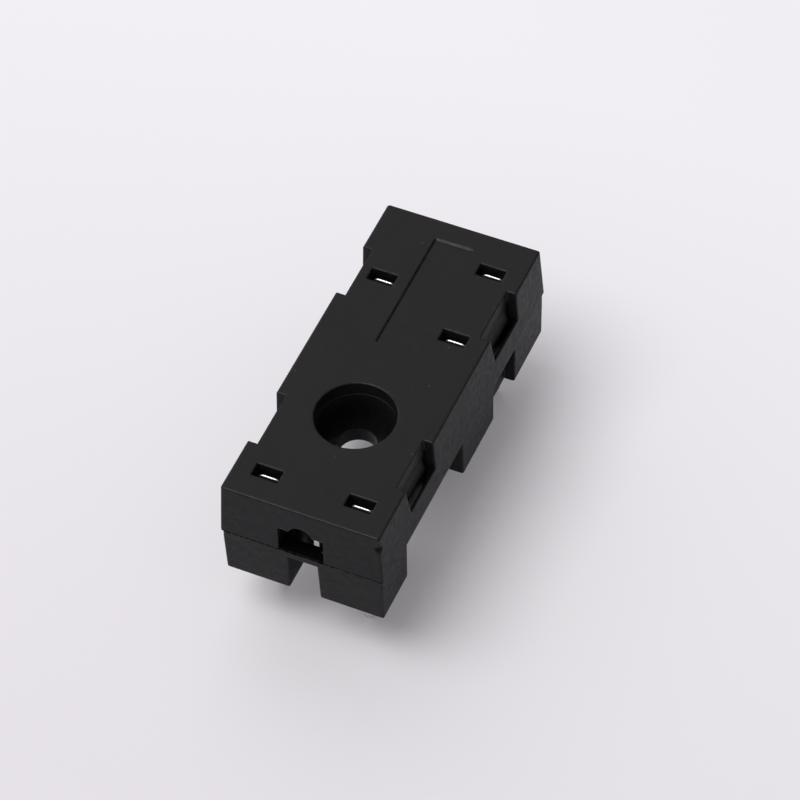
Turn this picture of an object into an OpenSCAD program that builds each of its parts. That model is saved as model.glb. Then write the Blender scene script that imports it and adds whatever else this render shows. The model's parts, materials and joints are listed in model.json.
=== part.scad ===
// Five-way relay socket for a printed circuit board.
// A thin moulded cover snaps over a moulded base that holds five folded spring contacts.
// X runs across the width, Y along the length from the coil end to the switching end, Z up.
// The origin is under the middle of the housing, on the surface that the pin tips stand on.

/* [Housing] */
// Width of the cover at its top face
body_w = 13; // [12:0.1:15]
// Height of the cover, from the parting line to the top face
cover_h = 4.9; // [4.6:0.1:6]
// Height of the base below the parting line, feet included
base_h = 4.85; // [4.2:0.05:6]
// How far the cover's walls lean out between the top face and the parting line
cover_draft = 0.23; // [0:0.01:0.3]
// Step from the cover in to the base at the parting line
base_step = 0.1; // [0:0.01:0.2]
// How far the base's walls lean in between the parting line and the feet
base_draft = 0.1; // [0:0.01:0.2]
// Radius of the housing's upright corners
corner_r = 0.2; // [0.1:0.05:0.4]
// Bevel round the cover's top face
edge_bevel = 0.08; // [0.04:0.01:0.2]
// Radius of the nick in the cover's right-hand coil corner
nick_r = 0.38; // [0.2:0.02:0.4]
// Depth from the top face to the middle of the nick
nick_drop = 1.2; // [1:0.1:2]

/* [Walls] */
// Thickness of the cover's roof
roof_t = 1.2; // [1:0.1:1.4]
// Thickness of the cover's walls at the top face
wall_t = 0.8; // [0.7:0.05:0.9]
// Thickness of the base's rim between the feet
rim_t = 0.85; // [0.7:0.05:1]
// Clearance between the cover and the base's block
housing_gap = 0.05; // [0.03:0.01:0.08]

/* [Terminal slots] */
// Length of a slot, across the housing
slot_l = 2.2; // [2:0.1:2.4]
// Width of a slot, along the housing
slot_w = 1.2; // [1.1:0.05:1.3]
// Distance between the left and right rows of slots
row_pitch = 7.62; // [7.2:0.02:7.8]
// Distance from the coil end to the two coil slots
coil_y = 2.58; // [2.4:0.02:2.8]
// Distance from the coil slots to the common slot
common_pitch = 21.05; // [20.5:0.05:21.4]
// Distance along the housing from the common slot to each switched slot
switch_pitch = 3.6; // [3.4:0.05:3.7]
// Distance from the farther switched slot to the switching end
switch_end = 3.57; // [3.4:0.01:4.5]

/* [Spring contacts] */
// Thickness of the contact sheet
sheet_t = 0.2; // [0.15:0.01:0.3]
// Room that a contact's leaves leave across their slot
slot_play = 0.5; // [0.3:0.05:0.6]
// Gap between a slot's coil-side edge and the fixed leaf
leaf_gap = 0.4; // [0.3:0.02:0.45]
// Depth of the fixed leaf's top edge below the top face
leaf_drop = 0.25; // [0.15:0.05:0.5]
// Height of a contact from its fold to the top of its fixed leaf
contact_h = 7.2; // [6.5:0.1:7.5]
// Height of the flare that guides a blade between the leaves
flare_h = 1.4; // [1:0.1:1.8]
// Distance between the two leaves' centre lines at the fold
leaf_pitch = 1.05; // [0.95:0.05:1.1]
// Gap between the leaves where they grip a blade
grip_gap = 0.3; // [0.2:0.05:0.4]
// Width of a pin
pin_w = 0.85; // [0.7:0.05:1]
// Length of a pin below the feet
pin_l = 4.2; // [3:0.1:5]
// Length of the taper at a pin's tip
pin_taper = 0.35; // [0.2:0.05:0.8]
// Clearance round a contact in its slot and pocket
contact_gap = 0.05; // [0.03:0.01:0.08]

/* [Screw hole] */
// Distance from the coil end to the screw hole
screw_y = 10.15; // [10:0.05:10.4]
// Diameter of the recess for the screw's head
head_d = 6.4; // [6:0.1:6.6]
// Depth of the recess for the screw's head
head_depth = 3.4; // [3:0.1:3.6]
// Diameter of the screw's clearance hole
screw_d = 3.1; // [3:0.1:3.4]
// Thickness of the seat under the screw's head
seat_t = 1.4; // [1:0.1:1.5]

/* [Clip notches] */
// Length of a notch in the side wall
notch_l = 5.1; // [4.8:0.1:5.2]
// Distance from each end of the housing to its nearer notch
notch_end = 4.85; // [4.7:0.05:5]
// Depth from the top face to the strap that crosses a notch
strap_drop = 2.95; // [2.6:0.05:3.1]
// Thickness of a strap at its top edge
strap_t = 0.35; // [0.3:0.05:0.45]
// Slope of each notch's coil-side end, as a length along the housing
notch_slope = 0.5; // [0.3:0.1:1]
// How far a catch stands out from the base's block
catch_out = 0.32; // [0.25:0.01:0.4]
// Gap between a catch and the notch's switching-side end
catch_gap = 0.4; // [0.2:0.1:0.6]
// Height of a catch's ramp
catch_h = 1.15; // [1:0.05:1.3]

/* [End windows] */
// Width of the window in each end wall
window_w = 3.76; // [3.5:0.02:4]
// Depth from the top face to the window's square shoulders
shoulder_drop = 2.5; // [2.4:0.05:2.7]
// Depth from the top face to the crown of the window's arch
crown_drop = 1.8; // [1.6:0.05:2]
// Radius of the arch
arch_r = 1; // [0.8:0.05:1.2]
// Thickness of the base's rim in front of the pocket behind a window
pocket_wall_t = 1.1; // [1:0.05:1.2]
// Length of the pocket behind that rim, along the housing
pocket_l = 1.1; // [1:0.05:1.3]
// Distance from the housing's middle to the pocket's right-hand wall
pocket_side = 0.9; // [0.8:0.05:1.2]
// Radius of the half-round rib on the pocket's back wall
rib_r = 0.62; // [0.5:0.02:0.7]
// Distance from the housing's middle to the rib
rib_x = 0.8; // [0.7:0.05:1]
// Height of the rib's foot above the housing's feet
rib_foot = 2.7; // [2.5:0.1:3.2]

/* [Marking panel] */
// Width of the sunk panel in the top face
panel_w = 3.24; // [3:0.02:3.6]
// Length of the sunk panel
panel_l = 11.4; // [10.5:0.1:11.6]
// Distance from the panel to the switching end
panel_end = 1.9; // [1.8:0.1:2.2]
// Depth of the sunk panel
panel_depth = 0.12; // [0.08:0.01:0.2]

/* [Feet] */
// Length of the feet at the coil end
coil_foot_l = 4.5; // [4.3:0.1:4.8]
// Distance from the coil end to the long feet
long_foot_y = 15; // [14.8:0.1:15.4]
// Gap between the two feet at the coil end
foot_gap = 2.4; // [2.2:0.1:2.6]
// Gap between the long feet
channel_w = 4.4; // [4.2:0.1:4.6]
// Distance from a notch's coil-side end to the hollow in the long foot under it
hollow_in = 0.15; // [0:0.05:0.3]
// Length of that hollow
hollow_l = 4.3; // [4.1:0.1:4.5]
// Radius of the feet's upright corners
foot_corner_r = 0.15; // [0.1:0.05:0.3]
// Radius along the feet's bottom edges
foot_r = 0.25; // [0.1:0.05:0.4]
// How far each foot narrows on every side down to that radius
foot_draft = 0.06; // [0:0.01:0.1]

/* [Hidden] */

$fn = 48;
CORNER_STEPS = 6;                            // facets of a rounded corner
EDGE_STEPS = 4;                              // facets along a foot's bottom edge
LEAF_STEPS = 8;                              // facets of a contact's fold and of its spring leaf
FLARE_STEPS = 4;                             // facets of a contact's flare
CUT = 1;                                     // overshoot of every cutting solid

// Heights above the pin tips
seat_z = pin_l;                              // the plane that the feet stand on
part_z = seat_z + base_h;                    // the parting line
top_z = part_z + cover_h;                    // the top face
roof_z = top_z - roof_t;                     // underside of the cover's roof
rim_z = part_z - rim_t;                      // underside of the base's rim
head_z = top_z - head_depth;                 // floor of the screw's recess
seat_under_z = head_z - seat_t;              // underside of the screw's seat
strap_z = top_z - strap_drop;                // top of the straps
block_top_z = roof_z - housing_gap;          // top of the base's block

// Places along and across the housing
body_l = coil_y + common_pitch + switch_pitch + switch_end;
coil_end = -body_l / 2;
inner_w = body_w - 2 * wall_t;
inner_l = body_l - 2 * wall_t;
block_w = inner_w - 2 * housing_gap;
block_l = inner_l - 2 * housing_gap;
strap_x = body_w / 2 + cover_draft * strap_drop / cover_h - strap_t;   // a strap's inner face
slot_x = row_pitch / 2;
leaf_w = slot_l - slot_play;
leaf_x = slot_play / 2 - contact_gap;        // the leaves sit towards the slot's right-hand end
leaf_y = leaf_gap + sheet_t / 2 - slot_w / 2;
row_coil = coil_end + coil_y;
row_common = row_coil + common_pitch;
row_closed = row_common - switch_pitch;
row_open = row_common + switch_pitch;
screw_row = coil_end + screw_y;
notch_mid = body_l / 2 - notch_end - notch_l / 2;
hollow_start = notch_mid - notch_l / 2 + hollow_in;

// A contact seen from the side
fold_r = leaf_pitch / 2;
grip_y = grip_gap + sheet_t;                 // the spring leaf's centre line where it grips
leaf_top_z = top_z - leaf_drop;
fold_z = leaf_top_z - contact_h + fold_r;    // middle of the fold
spring_top_z = block_top_z - contact_gap;
grip_z = spring_top_z - flare_h;

// Each terminal's place: [x, y]
COIL_LEFT = [-slot_x, row_coil];
COIL_RIGHT = [slot_x, row_coil];
COMMON = [-slot_x, row_common];
OPEN = [slot_x, row_open];
CLOSED = [slot_x, row_closed];
TERMINALS = [COIL_LEFT, COIL_RIGHT, COMMON, OPEN, CLOSED];

// Corner-rounded rectangle as a ring of points at height z
function ring(w, l, r, z) = [
    for (c = [[1, 1, 0], [-1, 1, 90], [-1, -1, 180], [1, -1, 270]], i = [0:CORNER_STEPS])
        let (angle = c[2] + 90 * i / CORNER_STEPS)
        [c[0] * (w / 2 - r) + r * cos(angle), c[1] * (l / 2 - r) + r * sin(angle), z]
];

// Solid through a stack of rings, from the lowest to the highest
module loft(rings) {
    n = len(rings[0]);
    last = (len(rings) - 1) * n;
    sides = [
        for (k = [0:len(rings) - 2], i = [0:n - 1])
            let (j = (i + 1) % n)
            [k * n + i, (k + 1) * n + i, (k + 1) * n + j, k * n + j]
    ];
    floor_face = [for (i = [0:n - 1]) i];
    roof_face = [for (i = [n - 1:-1:0]) last + i];
    polyhedron(points = [for (layer = rings, p = layer) p], faces = concat([floor_face], sides, [roof_face]));
}

// The housing's outline at height z, grown by g on every side
function outline(g, z) = ring(body_w + 2 * g, body_l + 2 * g, corner_r, z);

// Upright block with rounded corners
module rounded_block(w, l, h) {
    r = min(corner_r, w / 3, l / 3);
    linear_extrude(height = h)
        union() {
            square([w - 2 * r, l], center = true);
            square([w, l - 2 * r], center = true);
            for (x = [-1, 1], y = [-1, 1])
                translate([x * (w / 2 - r), y * (l / 2 - r)])
                    circle(r = r, $fn = 4 * CORNER_STEPS);
        }
}

// One piece per notch, on all four corners of the housing
module at_notches() {
    for (x = [-1, 1], y = [-1, 1])
        translate([x * body_w / 2, y * notch_mid, 0])
            mirror([x < 0 ? 1 : 0, 0, 0])
                children();
}

// Outer form of the cover, with drafted walls and a bevelled top
module cover_form() {
    loft([
        outline(cover_draft, part_z),
        outline(cover_draft * edge_bevel / cover_h, top_z - edge_bevel),
        outline(-edge_bevel, top_z)
    ]);
}

// Side view of a notch above its strap, sloped at the coil side
module notch_profile() {
    half = notch_l / 2;
    polygon([
        [-half, top_z + CUT],
        [half, top_z + CUT],
        [half, strap_z],
        [notch_slope - half, strap_z],
        [-half, top_z - edge_bevel]
    ]);
}

// Opening of a notch: a gap in the wall above the strap, and the slot behind the strap
module notch_cut() {
    inner = -wall_t;
    strap = strap_x - body_w / 2;
    translate([inner, 0, 0])
        rotate([90, 0, 90])
            linear_extrude(height = wall_t + CUT)
                notch_profile();
    translate([0, notch_l / 2, 0])
        rotate([90, 0, 0])
            linear_extrude(height = notch_l - notch_slope)
                polygon([
                    [inner, part_z - CUT],
                    [strap, part_z - CUT],
                    [strap, strap_z - strap_t],
                    [strap + strap_t / 2, strap_z],
                    [inner, strap_z]
                ]);
}

// Front view of an end window: a rectangle with an arch in the middle of its top
module window_profile() {
    translate([0, top_z - crown_drop - arch_r])
        circle(r = arch_r);
    translate([-window_w / 2, part_z - CUT])
        square([window_w, top_z - shoulder_drop - part_z + CUT]);
}

module window_cut() {
    translate([0, wall_t + CUT, 0])
        rotate([90, 0, 0])
            linear_extrude(height = wall_t + 2 * CUT)
                window_profile();
}

module cover() {
    color([0.05, 0.05, 0.055])
        difference() {
            cover_form();
            // Cavity for the base's block
            translate([0, 0, part_z - CUT])
                rounded_block(inner_w, inner_l, roof_z - part_z + CUT);
            for (t = TERMINALS)
                translate([t[0] - slot_l / 2, t[1] - slot_w / 2, roof_z - CUT])
                    cube([slot_l, slot_w, roof_t + 2 * CUT]);
            translate([0, screw_row, roof_z - CUT])
                cylinder(d = head_d, h = roof_t + 2 * CUT, $fn = 96);
            at_notches()
                notch_cut();
            at_ends()
                window_cut();
            // Sunk panel, left bare
            translate([0, body_l / 2 - panel_end - panel_l / 2, top_z - panel_depth])
                rounded_block(panel_w, panel_l, panel_depth + CUT);
            translate([body_w / 2, coil_end, top_z - nick_drop])
                sphere(r = nick_r, $fn = 24);
        }
}

// How far the base stands out past the top face's outline at height z
function base_out(z) = cover_draft - base_step - base_draft * (part_z - z) / base_h;

// Rim of the base between the parting line and the feet
module rim_form() {
    loft([outline(base_out(rim_z), rim_z), outline(base_out(part_z), part_z)]);
}

// One foot between two corners, narrowing downwards and rounded along its bottom
module foot(from, to) {
    size = to - from;
    mid = (from + to) / 2;
    bottom = [
        for (i = [0:EDGE_STEPS])
            let (angle = 90 * i / EDGE_STEPS, inset = 2 * (foot_draft + foot_r * (1 - sin(angle))))
            ring(size[0] - inset, size[1] - inset, foot_corner_r, seat_z + foot_r * (1 - cos(angle)))
    ];
    translate([mid[0], mid[1], 0])
        loft(concat(bottom, [ring(size[0], size[1], foot_corner_r, rim_z)]));
}

// Feet on one side of the base
module feet() {
    outer_x = body_w / 2 + base_out(rim_z);
    outer_y = body_l / 2 + base_out(rim_z);
    foot([foot_gap / 2, -outer_y], [outer_x, coil_end + coil_foot_l]);
    difference() {
        foot([channel_w / 2, coil_end + long_foot_y], [outer_x, outer_y]);
        translate([block_w / 2, hollow_start, seat_z - CUT])
            cube([wall_t + CUT, hollow_l, rim_z - seat_z + CUT]);
    }
}

// Catch on the block's side in a notch, ramped so that the strap slides over it
module catch_ramp() {
    root = -wall_t - housing_gap;
    translate([root, notch_l / 2 - catch_gap, strap_z + housing_gap])
        rotate([90, 0, 0])
            linear_extrude(height = notch_l - notch_slope - catch_gap)
                polygon([[-wall_t, 0], [catch_out, 0], [0, catch_h], [-wall_t, catch_h]]);
}

module base() {
    color([0.05, 0.05, 0.055]) {
        difference() {
            union() {
                rim_form();
                translate([0, 0, rim_z])
                    rounded_block(block_w, block_l, block_top_z - rim_z);
                for (side = [0, 1])
                    mirror([side, 0, 0])
                        feet();
                at_notches()
                    catch_ramp();
            }
            base_cuts();
        }
        at_ends()
            end_rib();
    }
}

// Everything that is taken out of the base
module base_cuts() {
    // Screw hole and the recess for its head
    translate([0, screw_row, head_z])
        cylinder(d = head_d, h = head_depth, $fn = 96);
    translate([0, screw_row, seat_under_z - CUT])
        cylinder(d = screw_d, h = seat_t + 2 * CUT, $fn = 64);
    // Hollows under the screw's seat and between the long feet
    hollow_w = head_d + 2 * wall_t;
    translate([0, screw_row, rim_z - CUT])
        rounded_block(hollow_w, hollow_w, seat_under_z - rim_z + CUT);
    translate([0, (row_closed + row_open) / 2, rim_z - CUT])
        rounded_block(channel_w - 2 * wall_t, row_open - row_closed, seat_under_z - rim_z + CUT);
    for (t = TERMINALS)
        translate([t[0], t[1], 0])
            contact_pocket();
    // Clip slots through the rim
    at_notches()
        translate([-wall_t - housing_gap, notch_slope - notch_l / 2, rim_z - CUT])
            cube([strap_x - block_w / 2, notch_l - notch_slope, rim_t + 2 * CUT]);
    at_ends()
        end_pocket();
}

// One piece per window, at the middle of each end wall
module at_ends() {
    for (turn = [0, 180])
        rotate([0, 0, turn])
            translate([0, coil_end, 0])
                children();
}

// Pocket behind a window: open at the bottom, and open to the window above the rim
module end_pocket() {
    pocket_w = window_w / 2 + pocket_side;
    above = block_top_z - part_z + CUT;
    translate([-window_w / 2, pocket_wall_t, rim_z - CUT])
        cube([pocket_w, pocket_l, block_top_z - rim_z + 2 * CUT]);
    translate([-window_w / 2, 0, part_z]) {
        cube([pocket_w, pocket_wall_t + pocket_l, above]);
        cube([window_w, pocket_wall_t, above]);
    }
}

// Half-round rib on the pocket's back wall, longer than the wall
module end_rib() {
    foot_z = seat_z + rib_foot;
    translate([-rib_x, pocket_wall_t + pocket_l, foot_z])
        cylinder(r = rib_r, h = block_top_z - foot_z);
}

// Centre line of a contact seen from the side: fixed leaf, fold, spring leaf and flare
function ease(t) = (1 - cos(180 * t)) / 2;
function fold_point(t) = [fold_r - fold_r * cos(180 * t), fold_z - fold_r * sin(180 * t)];
function spring_point(t) = [leaf_pitch + (grip_y - leaf_pitch) * ease(t), fold_z + (grip_z - fold_z) * t];
function flare_point(t) = [grip_y + (leaf_pitch - grip_y) * (1 - cos(90 * t)), grip_z + flare_h * t];

CENTRE_LINE = concat(
    [[0, leaf_top_z]],
    [for (i = [0:LEAF_STEPS]) fold_point(i / LEAF_STEPS)],
    [for (i = [1:LEAF_STEPS]) spring_point(i / LEAF_STEPS)],
    [for (i = [1:FLARE_STEPS]) flare_point(i / FLARE_STEPS)]
);

// Unit direction of a line at point i, and its left side
function heading(line, i) =
    let (a = line[max(i - 1, 0)], b = line[min(i + 1, len(line) - 1)])
    (b - a) / norm(b - a);
function left_of(d) = [-d[1], d[0]];

// Closed outline of a strip of thickness t along a line
function strip(line, t) = concat(
    [for (i = [0:len(line) - 1]) line[i] + left_of(heading(line, i)) * t / 2],
    [for (i = [len(line) - 1:-1:0]) line[i] - left_of(heading(line, i)) * t / 2]
);

// Room for one contact in the base, with a slot for its pin
module contact_pocket() {
    gap = contact_gap;
    w = leaf_w + 2 * gap;
    near = sheet_t / 2 + gap;
    floor_z = fold_z - fold_r - sheet_t / 2 - gap;
    translate([leaf_x - w / 2, leaf_y - near, floor_z])
        cube([w, near + leaf_pitch + sheet_t / 2 + gap, top_z - floor_z]);
    translate([leaf_x - pin_w / 2 - gap, leaf_y - near, seat_z - CUT])
        cube([pin_w + 2 * gap, sheet_t + 2 * gap, floor_z - seat_z + 2 * CUT]);
}

// Front view of the pin, with a tapered tip
module pin_profile() {
    half = pin_w / 2;
    polygon([
        [-half, fold_z],
        [-half, pin_taper],
        [-half / 2, 0],
        [half / 2, 0],
        [half, pin_taper],
        [half, fold_z]
    ]);
}

// Folded contact: two leaves that grip a blade, and a pin cut from the fixed leaf's side
module contact(place) {
    color([0.82, 0.81, 0.78])
        translate([place[0] + leaf_x, place[1] + leaf_y, 0]) {
            translate([-leaf_w / 2, 0, 0])
                rotate([90, 0, 90])
                    linear_extrude(height = leaf_w)
                        polygon(strip(CENTRE_LINE, sheet_t));
            translate([0, sheet_t / 2, 0])
                rotate([90, 0, 0])
                    linear_extrude(height = sheet_t)
                        pin_profile();
        }
}

module coil_contact_left() { contact(COIL_LEFT); }
module coil_contact_right() { contact(COIL_RIGHT); }
module common_contact() { contact(COMMON); }
module normally_open_contact() { contact(OPEN); }
module normally_closed_contact() { contact(CLOSED); }

cover();
base();
coil_contact_left();
coil_contact_right();
common_contact();
normally_open_contact();
normally_closed_contact();
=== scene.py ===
# %% [markdown]
# # A relay socket for a printed board
#
# The object is about 31 mm long: a black moulded base, a black cover that snaps over it, and five tinned
# contacts folded from thin sheet, taken here to be brass. The solids come from the packed model, so this
# lesson is about what they lack: softened edges, moulding grain, bright metal and the light that shows them.

# %% Load the packed model
import json
from math import atan, cos, degrees, pi, radians, sin

import bmesh
import bpy
import numpy as np
from mathutils import Matrix, Vector


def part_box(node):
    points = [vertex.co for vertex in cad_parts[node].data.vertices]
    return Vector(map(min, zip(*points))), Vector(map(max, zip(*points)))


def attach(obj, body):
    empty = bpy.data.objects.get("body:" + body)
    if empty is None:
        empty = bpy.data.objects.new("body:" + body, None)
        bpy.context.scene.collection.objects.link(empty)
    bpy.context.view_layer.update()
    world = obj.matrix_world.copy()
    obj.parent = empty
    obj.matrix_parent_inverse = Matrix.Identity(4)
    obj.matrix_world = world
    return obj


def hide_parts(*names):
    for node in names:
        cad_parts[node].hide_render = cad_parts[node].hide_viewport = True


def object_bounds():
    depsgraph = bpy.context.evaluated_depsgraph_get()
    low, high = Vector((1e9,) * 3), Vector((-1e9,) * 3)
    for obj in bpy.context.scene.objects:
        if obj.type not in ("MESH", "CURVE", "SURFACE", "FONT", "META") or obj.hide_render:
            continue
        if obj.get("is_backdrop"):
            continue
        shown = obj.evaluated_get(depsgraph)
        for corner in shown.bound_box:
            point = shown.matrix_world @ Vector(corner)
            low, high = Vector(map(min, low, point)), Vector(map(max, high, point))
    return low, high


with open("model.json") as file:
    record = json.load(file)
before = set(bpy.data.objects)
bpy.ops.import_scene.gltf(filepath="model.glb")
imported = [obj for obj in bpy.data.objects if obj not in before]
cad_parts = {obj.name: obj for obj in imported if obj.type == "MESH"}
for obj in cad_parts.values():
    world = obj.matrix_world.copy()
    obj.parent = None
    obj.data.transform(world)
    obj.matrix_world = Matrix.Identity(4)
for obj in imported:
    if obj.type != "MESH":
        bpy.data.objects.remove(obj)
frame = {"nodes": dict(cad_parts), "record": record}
cad_low, cad_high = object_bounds()
MM = 0.001
print("nodes:", ", ".join(sorted(frame["nodes"])))
print("size in mm:", [round(side / MM, 2) for side in cad_high - cad_low])

# %% [markdown]
# ## Where the socket's parts are
#
# Every place is read from the boxes of the nodes, so that nothing has to be fitted by hand. The cover's
# box gives the top face and the parting line, the base's box gives the plane of the feet, and each
# contact's box gives its slot.

# %% Heights and ends
cover_low, cover_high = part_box("cover")
base_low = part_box("base")[0]
TOP = cover_high.z
PARTING = cover_low.z
FEET = base_low.z
CONTACT_ENDINGS = ("contact", "contact_left", "contact_right")
CONTACTS = sorted(name for name in frame["nodes"] if name.endswith(CONTACT_ENDINGS))
print(f"top face {TOP / MM:.2f} mm, parting line {PARTING / MM:.2f} mm, feet {FEET / MM:.2f} mm")
print(len(CONTACTS), "contacts:", ", ".join(CONTACTS))

# %% [markdown]
# ## The camera
#
# A small object is best shown through a long lens from a distance, because a near camera would swell its
# nearest corner. The camera stands in front of the coil end and a little to its right, looks down at about
# 50 degrees, and leans over a little, as a camera held by hand does.

# %% Place the camera
CAMERA_AZIMUTH, CAMERA_ELEVATION, CAMERA_LEAN = radians(26.04), radians(50.48), radians(-2.72)
CAMERA_DISTANCE = 308.9 * MM
CAMERA_TARGET = Vector((2.48, -2.55, 13.95)) * MM
LENS, SENSOR = 183.6, 36.0

forward = Vector((-sin(CAMERA_AZIMUTH) * cos(CAMERA_ELEVATION), cos(CAMERA_AZIMUTH) * cos(CAMERA_ELEVATION),
                  -sin(CAMERA_ELEVATION)))
level = Vector((cos(CAMERA_AZIMUTH), sin(CAMERA_AZIMUTH), 0))
upward = level.cross(forward)
right = level * cos(CAMERA_LEAN) + upward * sin(CAMERA_LEAN)
up = upward * cos(CAMERA_LEAN) - level * sin(CAMERA_LEAN)
place = CAMERA_TARGET - forward * CAMERA_DISTANCE

camera = bpy.data.objects.new("camera", bpy.data.cameras.new("camera"))
bpy.context.scene.collection.objects.link(camera)
camera.data.lens, camera.data.sensor_width = LENS, SENSOR
camera.data.clip_start, camera.data.clip_end = 0.01, 10
turn = Matrix((right, up, -forward)).transposed().to_4x4()
camera.matrix_world = Matrix.Translation(place) @ turn
bpy.context.scene.camera = camera
view_angle = degrees(2 * atan(SENSOR / 2 / LENS))
print(f"camera {CAMERA_DISTANCE / MM:.0f} mm away, field of view {view_angle:.1f} degrees")

# %% [markdown]
# ## Light and floor
#
# A product like this is usually shown under wide soft boxes. Here one hangs overhead, a little to the
# left and towards the camera, and a weaker one stands behind on the left. A box's size sets how soft its
# shadow is: the shadow on the right is dark only beside the wall and fades out about one housing height
# away, so the overhead box spans some 40 degrees as seen from the socket, and the one behind a little
# more. The rest of the room is darker towards the horizon. A rounded edge that faces a box then catches a
# bright line, and an edge that faces the dark part of the room shows as a dark line.

# %% Two soft boxes
def soft_box(name, place, across, power):
    """Adds a round lamp that faces the origin."""
    data = bpy.data.lights.new(name, "AREA")
    data.shape, data.size, data.energy = "DISK", across, power
    lamp = bpy.data.objects.new(name, data)
    bpy.context.scene.collection.objects.link(lamp)
    turn = (-Vector(place)).to_track_quat("-Z", "Y").to_matrix().to_4x4()
    lamp.matrix_world = Matrix.Translation(Vector(place)) @ turn
    return lamp


OVERHEAD = Vector((-0.30, -0.24, 0.93)).normalized() * 0.8
BEHIND = Vector((-0.44, 0.56, 0.70)).normalized() * 0.9
soft_box("overhead_box", OVERHEAD, 0.6, 4.0)
soft_box("back_box", BEHIND, 0.85, 1.7)
print("soft boxes at", [[round(v, 3) for v in place] for place in (OVERHEAD, BEHIND)], "m")

# %% [markdown]
# ## Shader maths as arithmetic
#
# A material is a graph of nodes, and long sums are hard to read as a graph. The class Wire wraps one
# output of a node. Adding or multiplying wires adds the Math nodes for it, so a formula can be written as
# it would be on paper. Every other node comes from one method, Bench.add.

# %% Wires and a bench to join them on
class Wire:
    """One output of a shader node. Arithmetic on it adds Math nodes to the same bench."""

    def __init__(self, bench, socket):
        self.bench, self.socket = bench, socket

    def maths(self, operation, *values, clamp=False):
        """A Math node on the values, in their order."""
        settings = {"operation": operation, "use_clamp": clamp}
        return self.bench.add("ShaderNodeMath", settings, dict(enumerate(values)))

    def __add__(self, other):
        return self.maths("ADD", self, other)

    __radd__ = __add__

    def __sub__(self, other):
        return self.maths("SUBTRACT", self, other)

    def __rsub__(self, other):
        return self.maths("SUBTRACT", other, self)

    def __mul__(self, other):
        return self.maths("MULTIPLY", self, other)

    __rmul__ = __mul__

    def __truediv__(self, other):
        return self.maths("DIVIDE", self, other)

    def __rtruediv__(self, other):
        return self.maths("DIVIDE", other, self)

    def below(self, limit):
        """1 where this is less than the limit, and 0 elsewhere."""
        return self.maths("LESS_THAN", self, limit)

    def ramp(self, low, high):
        """Rises evenly from 0 at low to 1 at high, and stays there. It falls where low is above high."""
        return self.maths("MULTIPLY", self - low, 1 / (high - low), clamp=True)

    def within(self, low, high, fade):
        """1 between low and high, and 0 outside, with an even fade beyond either end."""
        return self.ramp(low - fade, low) * self.ramp(high + fade, high)


class Bench:
    """The node tree of one material or world, and the only place where nodes are added to it."""

    def __init__(self, owner):
        self.owner = owner
        owner.use_nodes = True
        self.tree = owner.node_tree

    def find(self, sockets, key):
        """A socket by its place in the list, its identifier or its name."""
        if isinstance(key, int):
            return sockets[key]
        exact = [s for s in sockets if s.identifier == key]
        return exact[0] if exact else next(s for s in sockets if s.name == key)

    def feed(self, node, inputs):
        """Links wires and sets plain values on a node's inputs."""
        for key, value in inputs.items():
            socket = self.find(node.inputs, key)
            if isinstance(value, Wire):
                self.tree.links.new(value.socket, socket)
            else:
                socket.default_value = value

    def add(self, kind, settings=None, inputs=None, output=0):
        """Adds a node: its settings first, then its inputs. Returns one of its outputs as a wire."""
        node = self.tree.nodes.new(kind)
        for name, value in (settings or {}).items():
            setattr(node, name, value)
        self.feed(node, inputs or {})
        return Wire(self, self.find(node.outputs, output))

    def blend(self, share, first, second):
        """A colour that goes from first to second as share goes from 0 to 1."""
        inputs = {"Factor_Float": share, "A_Color": first, "B_Color": second}
        return self.add("ShaderNodeMix", {"data_type": "RGBA"}, inputs, "Result_Color")

    def noise(self, where, size, detail=2.0, roughness=0.5):
        """Noise between about 0.2 and 0.8, whose lumps are about as wide as size."""
        inputs = {"Vector": where, "Scale": 1 / size, "Detail": detail, "Roughness": roughness}
        return self.add("ShaderNodeTexNoise", {"noise_dimensions": "3D"}, inputs, "Fac")


def material(name):
    """A new material's bench, its Principled shader node and its Object coordinates."""
    bench = Bench(bpy.data.materials.new(name))
    shader = bench.tree.nodes["Principled BSDF"]
    return bench, shader, bench.add("ShaderNodeTexCoord", output="Object")


print("operators ready:", [name for name in vars(Wire) if name.startswith("__") and name != "__init__"][:6])

# %% [markdown]
# ## The room and the floor
#
# The world gives the light that comes from everywhere else, dim near the horizon and brighter overhead.
# Rays from the camera see a pale colour instead, so that the room's edge never shows. The floor is one
# wide sheet of pale paper, a touch lighter towards the back, which is a painted falloff of the light,
# and it takes the socket's shadow. For rays from the camera a small share of the paper glows, a painted
# light that lightens that shadow.

# %% World and paper
PAPER_FRONT, PAPER_BACK = (0.765, 0.742, 0.770, 1), (0.880, 0.860, 0.890, 1)
world = bpy.data.worlds.new("studio")
bpy.context.scene.world = world
room = Bench(world)
direction = room.add("ShaderNodeTexCoord", output="Generated")
height = room.add("ShaderNodeSeparateXYZ", inputs={"Vector": direction}, output="Z")
to_card = room.add("ShaderNodeVectorMath", {"operation": "DOT_PRODUCT"},
                   {0: direction, 1: (-0.85, -0.53, 0)}, "Value")
low_room = room.blend(to_card.ramp(-0.4, 0.9), (0.13, 0.13, 0.135, 1), (0.60, 0.59, 0.61, 1))
room_colour = room.blend(height.ramp(0.0, 0.9), low_room, (0.42, 0.41, 0.43, 1))
seen = room.add("ShaderNodeLightPath", output="Is Camera Ray")
backdrop = room.tree.nodes["Background"]
room.feed(backdrop, {"Color": room.blend(seen, room_colour, PAPER_BACK), "Strength": 1.0})

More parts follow.
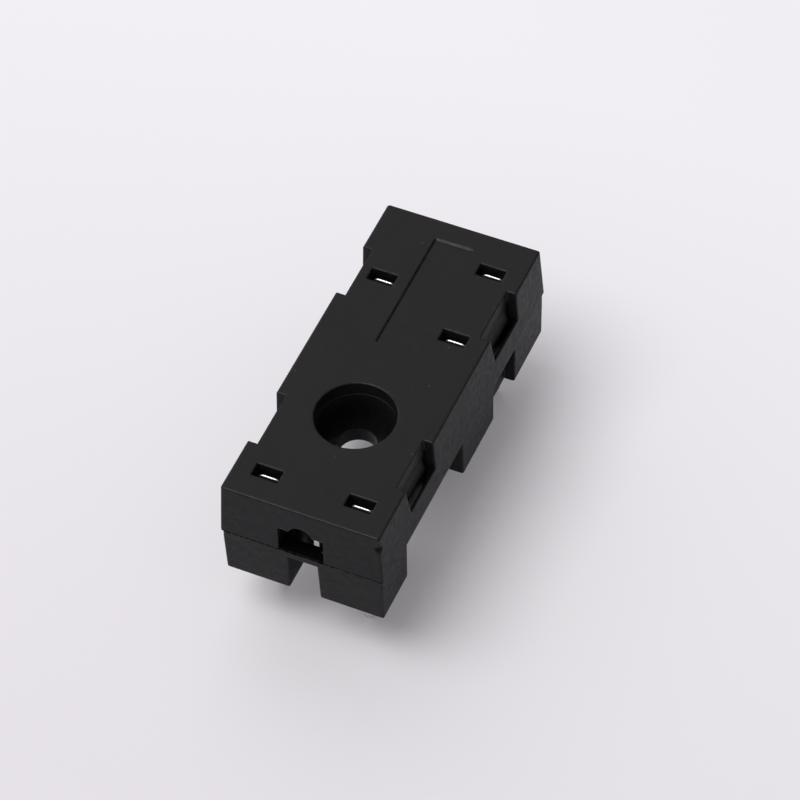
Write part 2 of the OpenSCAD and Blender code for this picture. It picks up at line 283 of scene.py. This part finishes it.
PAPER_LIFT = 0.11  # share of the paper's colour that the camera sees whatever the shadow
FLOOR_HALF = 3.0
corners = [(-FLOOR_HALF, -FLOOR_HALF, 0), (FLOOR_HALF, -FLOOR_HALF, 0),
           (FLOOR_HALF, FLOOR_HALF, 0), (-FLOOR_HALF, FLOOR_HALF, 0)]
floor_mesh = bpy.data.meshes.new("floor")
floor_mesh.from_pydata(corners, [], [(0, 1, 2, 3)])
floor = bpy.data.objects.new("floor", floor_mesh)
bpy.context.scene.collection.objects.link(floor)
paper, paper_shader, paper_place = material("pale_paper")
away = paper.add("ShaderNodeVectorMath", {"operation": "DOT_PRODUCT"},
                 {0: paper_place, 1: (0.1, 0.995, 0)}, "Value")
# Painted light: the paper's colour goes a touch lighter towards the back, as a painted falloff of the lamps
shade = paper.blend(away.ramp(-0.035, 0.045), PAPER_FRONT, PAPER_BACK)
to_camera = paper.add("ShaderNodeLightPath", output="Is Camera Ray")
# Painted light: for rays from the camera a share of the paper glows, which lightens its shadow
glow = paper.blend(to_camera * PAPER_LIFT, (0, 0, 0, 1), shade)
dimmed = paper.blend(to_camera * PAPER_LIFT, shade, (0, 0, 0, 1))
paper.feed(paper_shader, {"Base Color": dimmed, "Roughness": 0.95, "Specular IOR Level": 0.1,
                          "Emission Color": glow, "Emission Strength": 1.0})
floor_mesh.materials.append(paper.owner)
floor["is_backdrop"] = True
print("floor", 2 * FLOOR_HALF, "m wide")

# %% [markdown]
# ## The black moulding
#
# Housings of this kind are usually moulded in a black glass-filled plastic. A mould wall that was
# spark-eroded leaves a mottled grain, and one that was stoned leaves a smoother face. Here the walls are
# mottled and the top is more even, with a few pale specks of dust and fibre. The grain is worked out from
# the place on the surface, so it runs on unbroken over the edges. The Bevel node rounds the edges in
# shading alone, without touching the solid, and also tells where the edges are, so that they can be made
# a little paler, partly as wear and partly as a painted highlight. Beside the parting line and down in the
# screw recess the edges are left crisp.
#
# Two things here are chosen for their look and aren't forms of the solid. Floors that lie more than about
# 2 mm below the top, in the recess and the windows, are made smoother, and their colour is darkened as
# painted shade. And the marking panel, which has four equal edges in the solid, is shaded so that the
# right-hand and near edges don't show and the left and far ones show more strongly. The mesh keeps all four.

# %% One finish for both mouldings
RECESS_MOUNT = next(m for m in frame["record"]["mounts"] if m["name"] == "screw_head_recess")
SCREW_AXIS = (RECESS_MOUNT["pos_m"][0], RECESS_MOUNT["pos_m"][1], 0)
RECESS = RECESS_MOUNT["dims"]["r_mm"] * MM
# The panel's half width, far end and near end, as in the part's source
PANEL_SIDE, PANEL_FAR, PANEL_NEAR = 1.62 * MM, 13.50 * MM, 2.10 * MM
SEAM_BAND = 0.22 * MM             # edges this near to the parting line are left crisp
# Below this depth a floor gets painted shade and a smoother finish
SUNK_FROM, SUNK_TO = 2.0 * MM, 2.4 * MM  # depth over which a floor goes from the top's finish to the dark one
TOP_GRAIN = 0.36                  # share of the walls' grain that the top has


def panel_edges(bench, where, rounded):
    """Overrides the normal at the marking panel's edges, in shading alone: upright at the right-hand and near
    ones, which hides them, leaning at the left one, which darkens it, and sloping at the far one, at the
    angle that mirrors the overhead box to the camera's place. Also gives the share that is hidden."""
    place = [bench.add("ShaderNodeSeparateXYZ", inputs={"Vector": where}, output=axis) for axis in "XYZ"]
    on_top = place[2].ramp(TOP - 0.30 * MM, TOP - 0.20 * MM)
    along = place[1].within(PANEL_NEAR, PANEL_FAR, 0.05 * MM) * on_top
    across = place[0].within(-PANEL_SIDE, PANEL_SIDE, 0.05 * MM) * on_top
    right_edge = place[0].within(PANEL_SIDE - 0.2 * MM, PANEL_SIDE + 0.25 * MM, 0.1 * MM) * along
    near_edge = place[1].within(PANEL_NEAR - 0.25 * MM, PANEL_NEAR + 0.2 * MM, 0.1 * MM) * across
    hidden = right_edge.maths("MAXIMUM", right_edge, near_edge)
    groove = place[0].within(-PANEL_SIDE - 0.02 * MM, -PANEL_SIDE + 0.07 * MM, 0.03 * MM) * along
    slope = place[1].within(PANEL_FAR - 0.05 * MM, PANEL_FAR + 0.01 * MM, 0.03 * MM) * across * 0.7
    for share, normal in ((hidden, (0, 0, 1)), (groove, (0.8, 0, 0.6)), (slope, (0, -0.44, 0.90))):
        rounded = bench.add("ShaderNodeMix", {"data_type": "VECTOR"},
                            {"Factor_Float": share, "A_Vector": rounded, "B_Vector": normal}, "Result_Vector")
    return rounded, hidden


def moulding(name, deep, pale, wall_depth, speck_share, edge_radius=0.24 * MM, shine=0.19):
    """Black moulded plastic. Colour runs between deep and pale with three sizes of noise. The height of the
    grain is also the sum of three, full on the walls and the share TOP_GRAIN of that on the top."""
    bench, shader, where = material(name)
    normal = bench.add("ShaderNodeNewGeometry", output="Normal")
    upright = bench.add("ShaderNodeSeparateXYZ", inputs={"Vector": normal}, output="Z")
    wall = upright.ramp(0.9, 0.5)

    mottle = bench.noise(where, 0.50 * MM, 4.0, 0.6)
    grain = bench.noise(where, 0.11 * MM, 2.0, 0.6)
    flow = bench.noise(where, 3.5 * MM, 2.0, 0.5)
    patches = mottle.ramp(0.30, 0.70) * 0.55 + flow.ramp(0.30, 0.70) * 0.30 + grain * 0.15
    patches = patches * (0.45 + wall * 0.55)
    colour = bench.blend(patches, deep, pale)

    # Specks: small dots in some cells of two Voronoi patterns, one coarse and one fine
    for cell, reach, tone in ((1.25 * MM, 0.052, 0.080), (0.62 * MM, 0.075, 0.034)):
        cells = {"Vector": where, "Scale": 1 / cell, "Randomness": 1.0}
        distance = bench.add("ShaderNodeTexVoronoi", {"feature": "F1"}, cells, "Distance")
        chance = bench.add("ShaderNodeTexVoronoi", {"feature": "F1"}, cells, "Color")
        picked = bench.add("ShaderNodeSeparateColor", {}, {0: chance}, 0).below(speck_share)
        speck = (distance + grain * 0.05).ramp(reach + 0.025, reach * 0.5 + 0.025) * picked
        colour = bench.blend(speck * 0.8, colour, (tone, tone, tone * 1.05, 1))

    # Edges: where the rounded normal leaves the flat one, and where it lies between the top and a wall
    soft = bench.add("ShaderNodeBevel", {"samples": 12}, {"Radius": edge_radius}, "Normal")
    level = bench.add("ShaderNodeSeparateXYZ", inputs={"Vector": where}, output="Z")
    seam = level.within(PARTING - SEAM_BAND, PARTING + SEAM_BAND, 0.10 * MM)
    below_top = level.ramp(TOP - SUNK_FROM, TOP - SUNK_TO)
    flattened = bench.add("ShaderNodeVectorMath", {"operation": "MULTIPLY"},
                          {0: where, 1: (1, 1, 0)}, "Vector")
    radius = bench.add("ShaderNodeVectorMath", {"operation": "DISTANCE"},
                       {0: flattened, 1: SCREW_AXIS}, "Value")
    recess = radius.ramp(RECESS + 0.25 * MM, RECESS + 0.10 * MM) * below_top
    crisp = seam.maths("MAXIMUM", seam, recess)
    deep_floor_shade = below_top * (1 - wall)
    rounded = bench.add("ShaderNodeMix", {"data_type": "VECTOR"},
                        {"Factor_Float": crisp, "A_Vector": soft, "B_Vector": normal}, "Result_Vector")
    rounded, hidden = panel_edges(bench, where, rounded)
    wall = wall * (1 - hidden)
    turned = bench.add("ShaderNodeVectorMath", {"operation": "DOT_PRODUCT"},
                       {0: rounded, 1: normal}, "Value")
    tilt = bench.add("ShaderNodeSeparateXYZ", inputs={"Vector": rounded}, output="Z")
    patchy_wear_and_highlight = bench.noise(where, 0.45 * MM, 3.0, 0.7).ramp(0.36, 0.62)
    edge = turned.ramp(0.995, 0.90) * patchy_wear_and_highlight * (1 - hidden)
    rim = tilt.ramp(0.995, 0.95) * tilt.ramp(0.20, 0.50) * (1 - below_top)
    # The edges are made paler: partly wear, and partly a painted highlight along them
    colour = bench.blend(edge * 0.42, colour, (0.042, 0.042, 0.044, 1))

    blotches = bench.noise(where, 0.85 * MM, 1.5, 0.5)
    height = (blotches * 1.3 + mottle * 0.45 + grain * 0.16) * (TOP_GRAIN + wall * (1 - TOP_GRAIN))
    bump = bench.add("ShaderNodeBump", {}, {"Strength": 1.0, "Distance": wall_depth, "Height": height,
                                            "Normal": rounded}, "Normal")
    # Painted shade: floors more than about 2 mm below the top are darkened
    colour = bench.blend(deep_floor_shade * 0.7, colour, (0.0015, 0.0015, 0.0016, 1))
    gloss = 0.46 + wall * 0.09 + (mottle - 0.5) * 0.40 - rim * (0.13 + 0.16 * patchy_wear_and_highlight) - deep_floor_shade * 0.24
    bench.feed(shader, {"Base Color": colour, "Roughness": gloss, "Normal": bump,
                        "Specular IOR Level": shine})
    print(name, "has", len(bench.tree.nodes), "nodes")
    return bench.owner


cover_finish = moulding("black_cover_moulding", (0.0034, 0.0034, 0.0038, 1), (0.0105, 0.0105, 0.0112, 1),
                        0.036 * MM, 0.40)
base_finish = moulding("black_base_moulding", (0.0036, 0.0036, 0.0040, 1), (0.0115, 0.0115, 0.0122, 1),
                       0.044 * MM, 0.28)
# The lip's finish: nearly black and without shine, a painted shadow along the seam
seam_shadow_finish = moulding("painted_seam_shadow_line", (0.0010, 0.0010, 0.0011, 1), (0.0050, 0.0050, 0.0052, 1),
                        0.020 * MM, 0.10, 0.03 * MM, 0.0)
flash_finish = moulding("pale_flash", (0.0060, 0.0060, 0.0063, 1), (0.0600, 0.0600, 0.0620, 1),
                        0.020 * MM, 0.10, 0.03 * MM)
for node_name, finish in (("cover", cover_finish), ("base", base_finish)):
    node_mesh = frame["nodes"][node_name].data
    node_mesh.materials.clear()
    node_mesh.materials.append(finish)

# %% [markdown]
# ## Tinned sheet
#
# Contacts of this kind are stamped from thin brass sheet and tinned. Tin is pale and bright but not a
# mirror. Fine lines run along the strip, and further down the leaf, where it stands in the slot, the colour
# goes darker and olive, a painted shade of the slot. The pins are bright again. The lines come from noise
# that is stretched along the height by a Mapping node.

# %% The tin
def tinned_sheet(name, leaf_top):
    """Metal whose colour goes from bright tin at the leaf's top edge to darker, olive-tinted tin below it, as
    painted shade of the slot, and back to bright tin on the pin."""
    bench, shader, where = material(name)
    height = bench.add("ShaderNodeSeparateXYZ", inputs={"Vector": where}, output="Z")
    stretched = bench.add("ShaderNodeMapping", {}, {"Vector": where, "Scale": (1, 1, 0.06)}, "Vector")
    lines = bench.noise(stretched, 0.05 * MM, 2.0, 0.6)
    cloud = bench.noise(where, 0.6 * MM, 2.0, 0.5)
    # Painted shade: below its top edge the leaf goes darker and olive, where it stands in the slot
    slot_shade_on_leaf = height.ramp(leaf_top - 0.10 * MM, leaf_top - 0.35 * MM)
    slot_shade_on_leaf = slot_shade_on_leaf * height.ramp(FEET - 0.5 * MM, FEET + 0.5 * MM)
    colour = bench.blend(slot_shade_on_leaf * 0.75, (0.90, 0.89, 0.86, 1), (0.62, 0.57, 0.40, 1))
    colour = bench.blend(cloud.ramp(0.45, 0.75) * 0.35, colour, (0.60, 0.58, 0.53, 1))
    bump = bench.add("ShaderNodeBump", {},
                     {"Strength": 1.0, "Distance": 0.004 * MM, "Height": lines}, "Normal")
    bench.feed(shader, {"Base Color": colour, "Metallic": 1.0, "Roughness": 0.26 + lines * 0.16,
                        "Normal": bump})
    return bench.owner


sheet_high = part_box(CONTACTS[0])[1]
tin = tinned_sheet("tinned_sheet", sheet_high.z)
print("leaf tops at", round(sheet_high.z / MM, 2), "mm")

# %% [markdown]
# ## The folded contacts
#
# Each contact is one strip: down the fixed leaf, round a fold, and up the spring leaf, which bows in to
# grip the relay's blade and flares out again to guide it. A pin carries on from the fixed leaf, down
# through the base and the board. The solids hold the same form with square edges. Here the strip is a
# rounded section carried along a centre line, so its edges catch the light as rolled and tinned sheet does.
# One pin is bent in under the housing here, so its tip stands 0.65 mm off the solid's straight pin.

# %% Section, centre line and sweep
def section(count=24, corner=0.35):
    """A flat oval as two arrays over one turn: superellipse |x|^n + |y|^n = 1, sampled evenly in angle.
    Cosine and sine raised to the power of corner keep their signs."""
    angle = np.linspace(0, 2 * pi, count, endpoint=False)
    power = lambda wave: np.sign(wave) * np.abs(wave) ** corner
    return power(np.cos(angle)), power(np.sin(angle))


def sweep(centre, half_width, half_thickness):
    """Points of a section carried along centre, an (n, 2) array in the plane of y and z.
    Across goes along x; through goes along the line's left side. Returns vertices and faces, closed by
    a fan at each end."""
    heading = np.gradient(centre, axis=0)
    heading /= np.linalg.norm(heading, axis=1)[:, None]
    left = np.stack([-heading[:, 1], heading[:, 0]], axis=1)
    across, through = section()
    rings, around = len(centre), len(across)
    x = half_width[:, None] * across[None, :]
    yz = centre[:, None, :] + left[:, None, :] * (half_thickness[:, None] * through[None, :])[..., None]
    points = np.concatenate([x[..., None], yz], axis=2).reshape(-1, 3)
    ends = np.array([[0, *centre[0]], [0, *centre[-1]]])
    ring, step = np.meshgrid(np.arange(rings - 1), np.arange(around), indexing="ij")
    after = (step + 1) % around
    quads = np.stack([ring * around + step, ring * around + after,
                      (ring + 1) * around + after, (ring + 1) * around + step], axis=2).reshape(-1, 4)
    k = np.arange(around)
    first, last = rings * around, (rings - 1) * around
    head = np.stack([np.full(around, first), (k + 1) % around, k], axis=1)
    tail = np.stack([np.full(around, first + 1), last + k, last + (k + 1) % around], axis=1)
    return np.vstack([points, ends]), quads.tolist() + head.tolist() + tail.tolist()


def rounded_end(distance, radius):
    """Share of the full width at a distance from a rounded end: a quarter circle, then 1."""
    inside = np.clip(1 - distance / radius, 0, 1)
    return np.sqrt(1 - inside**2)


print("section of", len(section()[0]), "points")

# %% Where the strip runs
SHEET, LEAF, FLARE, GRIP = 0.2 * MM, 7.2 * MM, 1.4 * MM, 0.3 * MM
PIN_WIDTH, PIN_TAPER = 0.85 * MM, 0.35 * MM


def strip_line(low, high):
    """Centre line of a contact in its box: straight down, half a circle, a cosine ease in to the grip,
    and a quarter cosine out again."""
    pitch = high.y - low.y - SHEET
    radius = pitch / 2
    fold = high.z - LEAF + radius
    near = low.y + SHEET / 2
    grip = GRIP + SHEET
    spring_top = cover_high.z - 1.3 * MM
    grip_z = spring_top - FLARE
    down = np.concatenate([np.linspace(0, 0.06, 5)[:-1], np.linspace(0.06, 1, 10)[:-1]])
    t = np.linspace(0, 1, 25)
    fixed = np.stack([np.full(len(down), near), high.z + (fold - high.z) * down], axis=1)
    turn = np.stack([near + radius - radius * np.cos(pi * t), fold - radius * np.sin(pi * t)], axis=1)
    ease = (1 - np.cos(pi * t)) / 2
    spring = np.stack([near + pitch + (grip - pitch) * ease, fold + (grip_z - fold) * t], axis=1)
    flare = np.stack([near + grip + (pitch - grip) * (1 - np.cos(pi / 2 * t)), grip_z + FLARE * t], axis=1)
    return np.concatenate([fixed, turn, spring[1:], flare[1:]])


def contact_points(low, high, bend=0.0):
    """Vertices and faces of one contact: the strip, then its pin. A bent pin swings by the square of the
    share of its free length, up to bend at its tip."""
    line = strip_line(low, high)
    run = np.concatenate([[0], np.cumsum(np.linalg.norm(np.diff(line, axis=0), axis=1))])
    to_end = np.minimum(run, run[-1] - run)
    half = (high.x - low.x) / 2
    width = half - 0.30 * MM * (1 - rounded_end(to_end, 0.30 * MM))
    thickness = SHEET / 2 * np.clip(rounded_end(to_end, 0.05 * MM), 0.35, 1)
    strip, strip_faces = sweep(line, width, thickness)

    rise = np.concatenate([np.linspace(0, PIN_TAPER, 8), np.linspace(0.7 * MM, high.z - LEAF + 1.2 * MM, 20)])
    swing = bend * np.clip(1 - rise / FEET, 0, 1) ** 2
    pin_line = np.stack([low.y + SHEET / 2 + swing, rise], axis=1)
    pin_half = PIN_WIDTH / 2 * (0.5 + 0.5 * np.clip(rise / PIN_TAPER, 0, 1) ** 0.8)
    pin_thick = (SHEET / 2 - 0.004 * MM) * np.clip(0.45 + rise / (0.35 * MM), 0.45, 1)
    pin, pin_faces = sweep(pin_line, pin_half, pin_thick)
    pin[:, 2] = np.maximum(pin[:, 2], 0)
    points = np.vstack([strip, pin])
    points[:, 0] += (low.x + high.x) / 2
    return points, strip_faces + [[i + len(strip) for i in face] for face in pin_faces]


def outward(mesh):
    """Turns every face of a closed mesh to point outwards."""
    shell = bmesh.new()
    shell.from_mesh(mesh)
    bmesh.ops.recalc_face_normals(shell, faces=shell.faces)
    shell.to_mesh(mesh)
    shell.free()


def piece(name, points, faces, finish):
    """A smooth-shaded mesh object that rides on the socket's one body."""
    mesh = bpy.data.meshes.new(name)
    mesh.from_pydata(points.tolist(), [], faces)
    outward(mesh)
    mesh.shade_smooth()
    mesh.materials.append(finish)
    made = bpy.data.objects.new(name, mesh)
    bpy.context.scene.collection.objects.link(made)
    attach(made, "root")
    return made


BENT = {"coil_contact_left": 0.65 * MM}
for name in CONTACTS:
    points, faces = contact_points(*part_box(name), BENT.get(name, 0.0))
    strip = piece(name + "_strip", points, faces, tin)
    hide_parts(name)
    print(strip.name, len(strip.data.polygons), "faces")

# %% [markdown]
# ## The flash on the parting line
#
# Where the two halves of a mould meet, a little plastic squeezes out as a thin ragged lip. It hangs from
# the cover's bottom edge, over the small step down to the base, and makes the seam look uneven. It is a
# ribbon round the housing: its top edge follows the cover's outline and its depth wanders with the
# distance along it. The lip is coloured nearly black and has no shine, as painted shade of the seam under
# the cover's edge, so it reads as a dark line. It is deepest at the coil end, and on most of the right-hand
# side the halves closed tightly and there is almost none.

# %% A ragged lip round the housing
def around_box(low, high, radius, steps=8, pitch=0.12 * MM):
    """A closed line round a rectangle with rounded corners, as an (n, 2) array, with its outward normals."""
    parts, normals = [], []
    for sx, sy, start in ((1, -1, -90), (1, 1, 0), (-1, 1, 90), (-1, -1, 180)):
        angle = np.radians(start + np.linspace(0, 90, steps))
        out = np.stack([np.cos(angle), np.sin(angle)], axis=1)
        corner = np.array([high.x - radius if sx > 0 else low.x + radius,
                           high.y - radius if sy > 0 else low.y + radius])
        parts.append(corner + radius * out)
        normals.append(out)
    line, out = np.concatenate(parts), np.concatenate(normals)
    gap = np.linalg.norm(np.roll(line, -1, axis=0) - line, axis=1)
    run = np.concatenate([[0], np.cumsum(gap)])
    even = np.linspace(0, run[-1], int(run[-1] / pitch), endpoint=False)
    closed, closed_out = np.vstack([line, line[:1]]), np.vstack([out, out[:1]])
    xy = np.stack([np.interp(even, run, closed[:, i]) for i in (0, 1)], axis=1)
    side = np.stack([np.interp(even, run, closed_out[:, i]) for i in (0, 1)], axis=1)
    return xy, side / np.linalg.norm(side, axis=1)[:, None], even


def ragged(run, seed=7, waves=60):
    """A wandering value between 0 and 1: a sum of sine waves of random length and phase, squared so that
    the high parts are few and short."""
    dice = np.random.default_rng(seed)
    turns = dice.integers(3, 260, waves)
    phase = dice.uniform(0, 2 * pi, waves)
    waves_sum = np.sin(2 * pi * turns[:, None] * run[None, :] / run[-1] + phase[:, None]).sum(axis=0)
    return np.clip(0.5 + waves_sum / (2.6 * np.sqrt(waves)), 0, 1) ** 2


line, side, run = around_box(cover_low, cover_high, 0.2 * MM)
closed = (side[:, 0] > 0.7) & (line[:, 1] < cover_high.y - 3.3 * MM)
worst = np.where(side[:, 1] < -0.7, 0.090 + 0.130 * ragged(run), 0.045 + 0.055 * ragged(run))
depth = np.where(closed, 0.006, worst) * MM
thick = 0.045 * MM
# Each row: inset from the cover's edge, then height above the parting line or minus a share of the depth
rows = [(0.000, 0.02 * MM), (0.004 * MM, 0.0), (0.012 * MM, -0.7), (0.025 * MM, -1.0),
        (thick, -0.7), (thick, 0.02 * MM)]
rings = []
for inset, level in rows:
    z = PARTING + level if level >= 0 else PARTING + level * depth
    rings.append(np.column_stack([line - side * (inset + 0.001 * MM), np.broadcast_to(z, len(line))]))
points = np.concatenate(rings)
k, row = np.meshgrid(np.arange(len(line)), np.arange(len(rows)))
after, below = (k + 1) % len(line), (row + 1) % len(rows)
faces = np.stack([row * len(line) + k, row * len(line) + after,
                  below * len(line) + after, below * len(line) + k],
                 axis=2).reshape(-1, 4).tolist()
piece("parting_line_lip", points, faces, seam_shadow_finish)
print("lip", round(depth.min() / MM, 3), "to", round(depth.max() / MM, 3), "mm deep,", len(faces), "faces")

# %% [markdown]
# ## Burrs
#
# A few crumbs of flash stand on the coil end: one at the window's shoulder, one on its right-hand side,
# two nearer the top and the rest along the parting line. Each is the same sweep as a contact, but short
# and fat: its half widths follow half a circle along its length, with a wave on top that makes every
# crumb different.

# %% Crumbs of flash
# Each one, in mm: distance to the right of the middle, depth below the top, then half width, height and depth
BURRS = ((-1.12, 2.47, 0.16, 0.10, 0.06), (1.84, 3.62, 0.07, 0.12, 0.10), (3.30, 4.96, 0.20, 0.07, 0.05),
         (3.72, 5.02, 0.12, 0.06, 0.04), (4.12, 4.97, 0.15, 0.05, 0.05), (-1.35, 4.95, 0.22, 0.06, 0.05),
         (-2.30, 4.99, 0.14, 0.05, 0.04), (-5.10, 4.96, 0.12, 0.05, 0.04), (5.60, 4.98, 0.10, 0.05, 0.04),
         (6.40, 0.34, 0.10, 0.08, 0.05), (-3.05, 1.10, 0.07, 0.05, 0.07))


def crumb(side, drop, wide, high, deep, number):
    """Vertices and faces of one crumb: half widths go as the root of 1 - t squared, times a wave in t."""
    t = np.sin(np.linspace(-pi / 2, pi / 2, 13)) * 0.999
    bulge = np.sqrt(1 - t**2) * (1 + 0.22 * np.sin(5 * t + 2.1 * number))
    lean = (cover_high.z - drop * MM - PARTING) / (TOP - PARTING)
    wall_y = cad_low.y + max(lean, 0) * 0.23 * MM + 0.055 * MM
    line = np.stack([np.full(len(t), wall_y), TOP - drop * MM + t * high * MM], axis=1)
    points, faces = sweep(line, wide * MM * bulge, deep * MM * bulge)
    points[:, 0] += side * MM + 0.12 * wide * MM * np.sin(9 * points[:, 2] / MM + number)
    points[:, 1] = np.maximum(points[:, 1], cad_low.y)
    return points, faces


made, joined, start = [], [], 0
for number, burr in enumerate(BURRS):
    points, faces = crumb(*burr, number)
    made.append(points)
    joined += [[i + start for i in face] for face in faces]
    start += len(points)
piece("moulding_burrs", np.vstack(made), joined, flash_finish)
print(len(BURRS), "burrs,", len(joined), "faces")

# %% [markdown]
# ## Last
#
# The view transform is Standard, so a colour in the scene is the same colour in the picture. The growth of
# the dressed model past the solids' box, below and above, is printed, to show that dressing hasn't grown it.

# %% Finish
bpy.context.scene.view_settings.view_transform = "Standard"
sizes = {"cad": [list(cad_low), list(cad_high)], "visual": [list(corner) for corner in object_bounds()]}
grown_low = [round((a - b) / MM, 4) for a, b in zip(sizes["cad"][0], sizes["visual"][0])]
grown_high = [round((b - a) / MM, 4) for a, b in zip(sizes["cad"][1], sizes["visual"][1])]
print("grown by mm below and above:", grown_low, grown_high)
